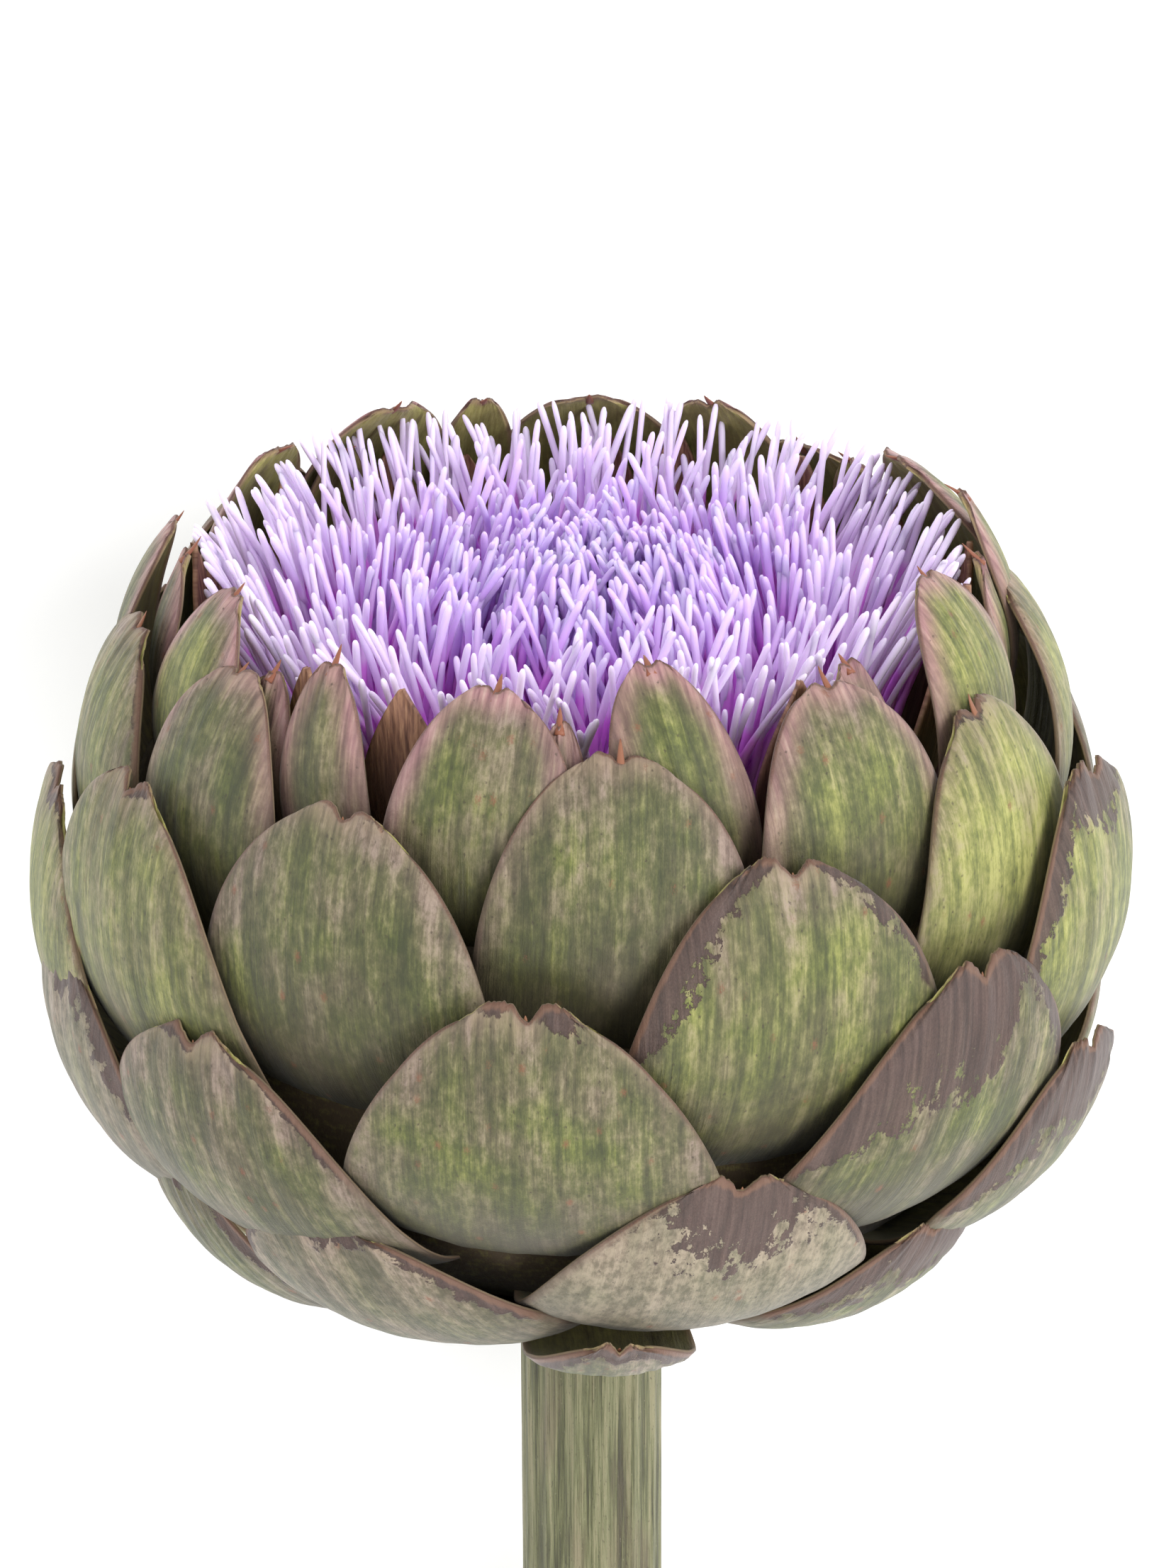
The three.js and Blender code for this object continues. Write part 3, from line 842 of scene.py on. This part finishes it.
    # Dried patches with a ragged dark border
    ragged = p.noise(times(x, 0.45), times(y, 0.28), plus(seed, 3.0), 5.0, 0.7)
    reach = times(dried, p.spread(ragged, 0.3, 0.66, 0.55, 1.45))
    inside_by = less(reach, edge)
    dry = times(p.spread(inside_by, 0.0, 0.45), p.spread(dried, 0.8, 1.6))
    dry_colour = p.ramp(
        plus(times(fine, 0.6), times(grain, 0.4)),
        [
            (0.3, srgb(44, 32, 30)),
            (0.5, srgb(70, 52, 48)),
            (0.7, srgb(94, 74, 68)),
            (0.85, srgb(124, 104, 94)),
        ],
    )
    border = times(p.spread(inside_by, 0.0, 0.4), p.spread(inside_by, 0.4, 1.4, 1.0, 0.0))
    dry_colour = p.mix(times(border, 0.7), dry_colour, srgb(52, 34, 28))
    crisp = p.spread(less(edge, times(fine, 1.2)), 0.0, 0.7, 1.0, 0.0)
    dry_colour = p.mix(times(crisp, 0.6), dry_colour, srgb(118, 84, 64))
    colour = p.mix(times(dry, 0.94), colour, dry_colour)
    # Inner face and spine
    within = p.ramp(
        plus(times(streak, 0.7), times(run, 0.3)),
        [
            (0.35, srgb(70, 58, 42)),
            (0.6, srgb(140, 136, 74)),
            (0.74, srgb(180, 174, 104)),
            (0.9, srgb(208, 172, 144)),
        ],
    )
    within = p.mix(p.spread(edge, 0.0, 1.6, 0.8, 0.0), within, srgb(150, 122, 96))
    colour = p.mix(p.spread(side, 0.2, 0.8), colour, within)
    thorn = p.ramp(rim, [(0.2, srgb(134, 90, 64)), (0.7, srgb(138, 84, 62))])
    colour = p.mix(p.spread(side, 1.2, 1.8), colour, thorn)
    p.put(p.shader.inputs["Base Color"], colour)
    p.put(p.shader.inputs["Roughness"], p.spread(streak, 0.3, 0.8, 0.6, 0.48))
    p.shader.inputs["Specular IOR Level"].default_value = 0.4
    p.shader.inputs["Sheen Weight"].default_value = 0.12
    p.shader.inputs["Sheen Roughness"].default_value = 0.45
    height = plus(plus(times(fibre, 0.35), times(fine, 0.4)), plus(times(grain, 0.25), times(dry, 0.4)))
    p.bump(height, 0.0004, 0.7)
    return p.material


def inner_material():
    p = Paint("inner_bract_skin")
    x, y, seed = p.parts("place")
    run, own, _ = p.parts("tone")
    streak = p.noise(p.times(x, 1.8), p.times(y, 0.16), seed, 4.0, 0.6)
    colour = p.ramp(
        p.math("MULTIPLY_ADD", own, 0.12, streak),
        [
            (0.32, srgb(84, 54, 44)),
            (0.5, srgb(126, 88, 70)),
            (0.64, srgb(158, 116, 90)),
            (0.8, srgb(190, 150, 118)),
        ],
    )
    lower = p.ramp(own, [(0.3, srgb(96, 60, 70)), (0.7, srgb(92, 88, 46))])
    colour = p.mix(p.spread(run, 0.5, 0.85, 0.75, 0.0), colour, lower)
    p.put(p.shader.inputs["Base Color"], colour)
    p.shader.inputs["Roughness"].default_value = 0.6
    p.bump(streak, 0.0005, 0.8)
    return p.material


def floret_material():
    p = Paint("floret_petal")
    run, own, share = p.parts("tone")
    up = p.less(run, 0.65)
    lilac = p.ramp(
        p.spread(up, 0.0, 0.35),
        [
            (0.0, srgb(214, 136, 234)),
            (0.3, srgb(204, 160, 239)),
            (0.75, srgb(208, 184, 245)),
            (1.0, srgb(220, 206, 250)),
        ],
    )
    lilac = p.mix(p.spread(own, 0.0, 1.0, 0.0, 0.35), lilac, srgb(222, 166, 238))
    magenta = p.ramp(
        own,
        [(0.1, srgb(210, 104, 224)), (0.5, srgb(224, 126, 236)), (0.9, srgb(218, 122, 218))],
    )
    magenta = p.mix(p.spread(run, 0.1, 0.3, 0.85, 0.0), magenta, srgb(150, 84, 96))
    # Painted light: the outer florets, which the bracts shade, are painted paler, the shafts more than
    # the sleeves
    outer = p.spread(share, 0.6, 0.95)
    lilac = p.mix(p.times(outer, 0.75), lilac, srgb(242, 226, 255))
    magenta = p.mix(p.times(outer, 0.6), magenta, srgb(238, 164, 246))
    colour = p.mix(p.spread(up, -0.03, 0.03), magenta, lilac)
    p.put(p.shader.inputs["Base Color"], colour)
    p.shader.inputs["Roughness"].default_value = 0.45
    p.shader.inputs["Subsurface Weight"].default_value = 0.4
    p.shader.inputs["Subsurface Scale"].default_value = 0.002
    p.shader.inputs["Subsurface Radius"].default_value = (1, 0.7, 1)
    return p.material


def stem_material():
    p = Paint("stem_skin")
    x, y, z = p.parts("place")
    _, rib, cut = p.parts("tone")
    times = p.times
    wide = p.noise(times(x, 0.8), times(y, 0.8), times(z, 0.035), 4.0, 0.6)
    line = p.noise(times(x, 3.2), times(y, 3.2), times(z, 0.08), 3.0, 0.6)
    grain = p.noise(x, y, times(z, 0.4), 4.0, 0.7, 2.6)
    value = p.math("MULTIPLY_ADD", rib, 0.08, times(wide, 0.55))
    value = p.math("MULTIPLY_ADD", line, 0.45, value)
    skin = p.ramp(
        p.spread(value, 0.36, 0.68),
        [
            (0.0, srgb(55, 53, 37)),
            (0.35, srgb(85, 86, 56)),
            (0.65, srgb(109, 110, 76)),
            (1.0, srgb(136, 131, 100)),
        ],
    )
    patch = p.noise(times(x, 0.3), times(y, 0.3), times(z, 0.05), 2.0, 0.5)
    skin = p.mix(p.spread(patch, 0.5, 0.75, 0.0, 0.5), skin, srgb(104, 90, 72))
    speck = p.spread(grain, 0.6, 0.68)
    skin = p.mix(times(speck, 0.6), skin, srgb(52, 42, 32))
    pale = p.spread(grain, 0.36, 0.3)
    skin = p.mix(times(pale, 0.4), skin, srgb(160, 156, 126))
    pith = p.ramp(
        p.math("MULTIPLY_ADD", grain, 0.3, cut),
        [(0.1, srgb(104, 110, 66)), (0.35, srgb(146, 150, 98)), (0.8, srgb(190, 184, 142))],
    )
    colour = p.mix(p.spread(cut, 0.0, 0.012), skin, pith)
    p.put(p.shader.inputs["Base Color"], colour)
    p.shader.inputs["Roughness"].default_value = 0.55
    p.bump(p.math("MULTIPLY_ADD", grain, 0.4, line), 0.0005, 0.8)
    return p.material


def floor_material():
    p = Paint("floor_paint")
    p.shader.inputs["Base Color"].default_value = srgb(248, 248, 248)
    p.shader.inputs["Roughness"].default_value = 0.9
    p.shader.inputs["Emission Color"].default_value = (1, 1, 1, 1)
    p.shader.inputs["Emission Strength"].default_value = FLOOR_GLOW
    return p.material


# The object

green = bract_material()
papery = inner_material()
petal = floret_material()
for k in range(FIRST_BRACT, LAST_BRACT + 1):
    make_bract(k, green)
make_turned("head_base", base_profile(), BASE_SIDES, green, "green_bracts")
for j in range(INNER_BRACTS):
    make_inner(j, papery)
bed = [(0, INNER_FLOOR), (BED_RADIUS, INNER_FLOOR), (BED_RADIUS, BED_TOP - 4)]
bed += [(BED_RADIUS * 0.7, BED_TOP - 1), (0, BED_TOP)]
make_turned("floret_bed", bed, BED_SIDES, papery, "florets")
room = room_inside()
make_florets(0, FLORETS // 2, room, petal)
make_florets(FLORETS // 2, FLORETS, room, petal)
make_stem(stem_material())

# Floor, lights and camera

floor_mesh = bpy.data.meshes.new("floor")
corners = [(x * FLOOR_REACH, y * FLOOR_REACH, 0) for x, y in ((-1, -1), (1, -1), (1, 1), (-1, 1))]
floor_mesh.from_pydata(corners, [], [(0, 1, 2, 3)])
floor = bpy.data.objects.new("floor", floor_mesh)
floor.location.z = FLOOR_LEVEL
bpy.context.scene.collection.objects.link(floor)
floor_mesh.materials.append(floor_material())

world = bpy.data.worlds.new("studio")
bpy.context.scene.world = world
world.use_nodes = True
background = world.node_tree.nodes["Background"]
background.inputs["Color"].default_value = (1, 1, 1, 1)
background.inputs["Strength"].default_value = WORLD_LIGHT
for name, (place, size, power) in LAMPS.items():
    light = bpy.data.lights.new(name, "AREA")
    light.shape = "DISK"
    light.size = size
    light.energy = power
    lamp = bpy.data.objects.new(name, light)
    lamp.location = place
    lamp.rotation_mode = "QUATERNION"
    lamp.rotation_quaternion = Vector((0, 0, -1)).rotation_difference(Vector(AIM) - Vector(place))
    bpy.context.scene.collection.objects.link(lamp)

# The camera looks down on the laid head from where the photograph looked at the upright one
direction = np.array([0, math.sin(CAMERA_RISE - TILT), math.cos(CAMERA_RISE - TILT)])
right = np.array([1.0, 0, 0])
upward = np.cross(direction, right)
x_axis = right * math.cos(CAMERA_ROLL) - upward * math.sin(CAMERA_ROLL)
y_axis = right * math.sin(CAMERA_ROLL) + upward * math.cos(CAMERA_ROLL)
middle = np.array([CENTRE_X, CENTRE_Y, LIFT])
spot = (middle + direction * CAMERA_AWAY + x_axis * CAMERA_SIDE + y_axis * CAMERA_UP) / 1000
lens = bpy.data.cameras.new("camera")
lens.lens = LENS
lens.clip_start = 0.01
camera = bpy.data.objects.new("camera", lens)
rows = [[x_axis[n], y_axis[n], direction[n], spot[n]] for n in range(3)]
camera.matrix_world = Matrix(rows + [[0, 0, 0, 1]])
bpy.context.scene.collection.objects.link(camera)
bpy.context.scene.camera = camera
bpy.context.scene.view_settings.view_transform = "Standard"
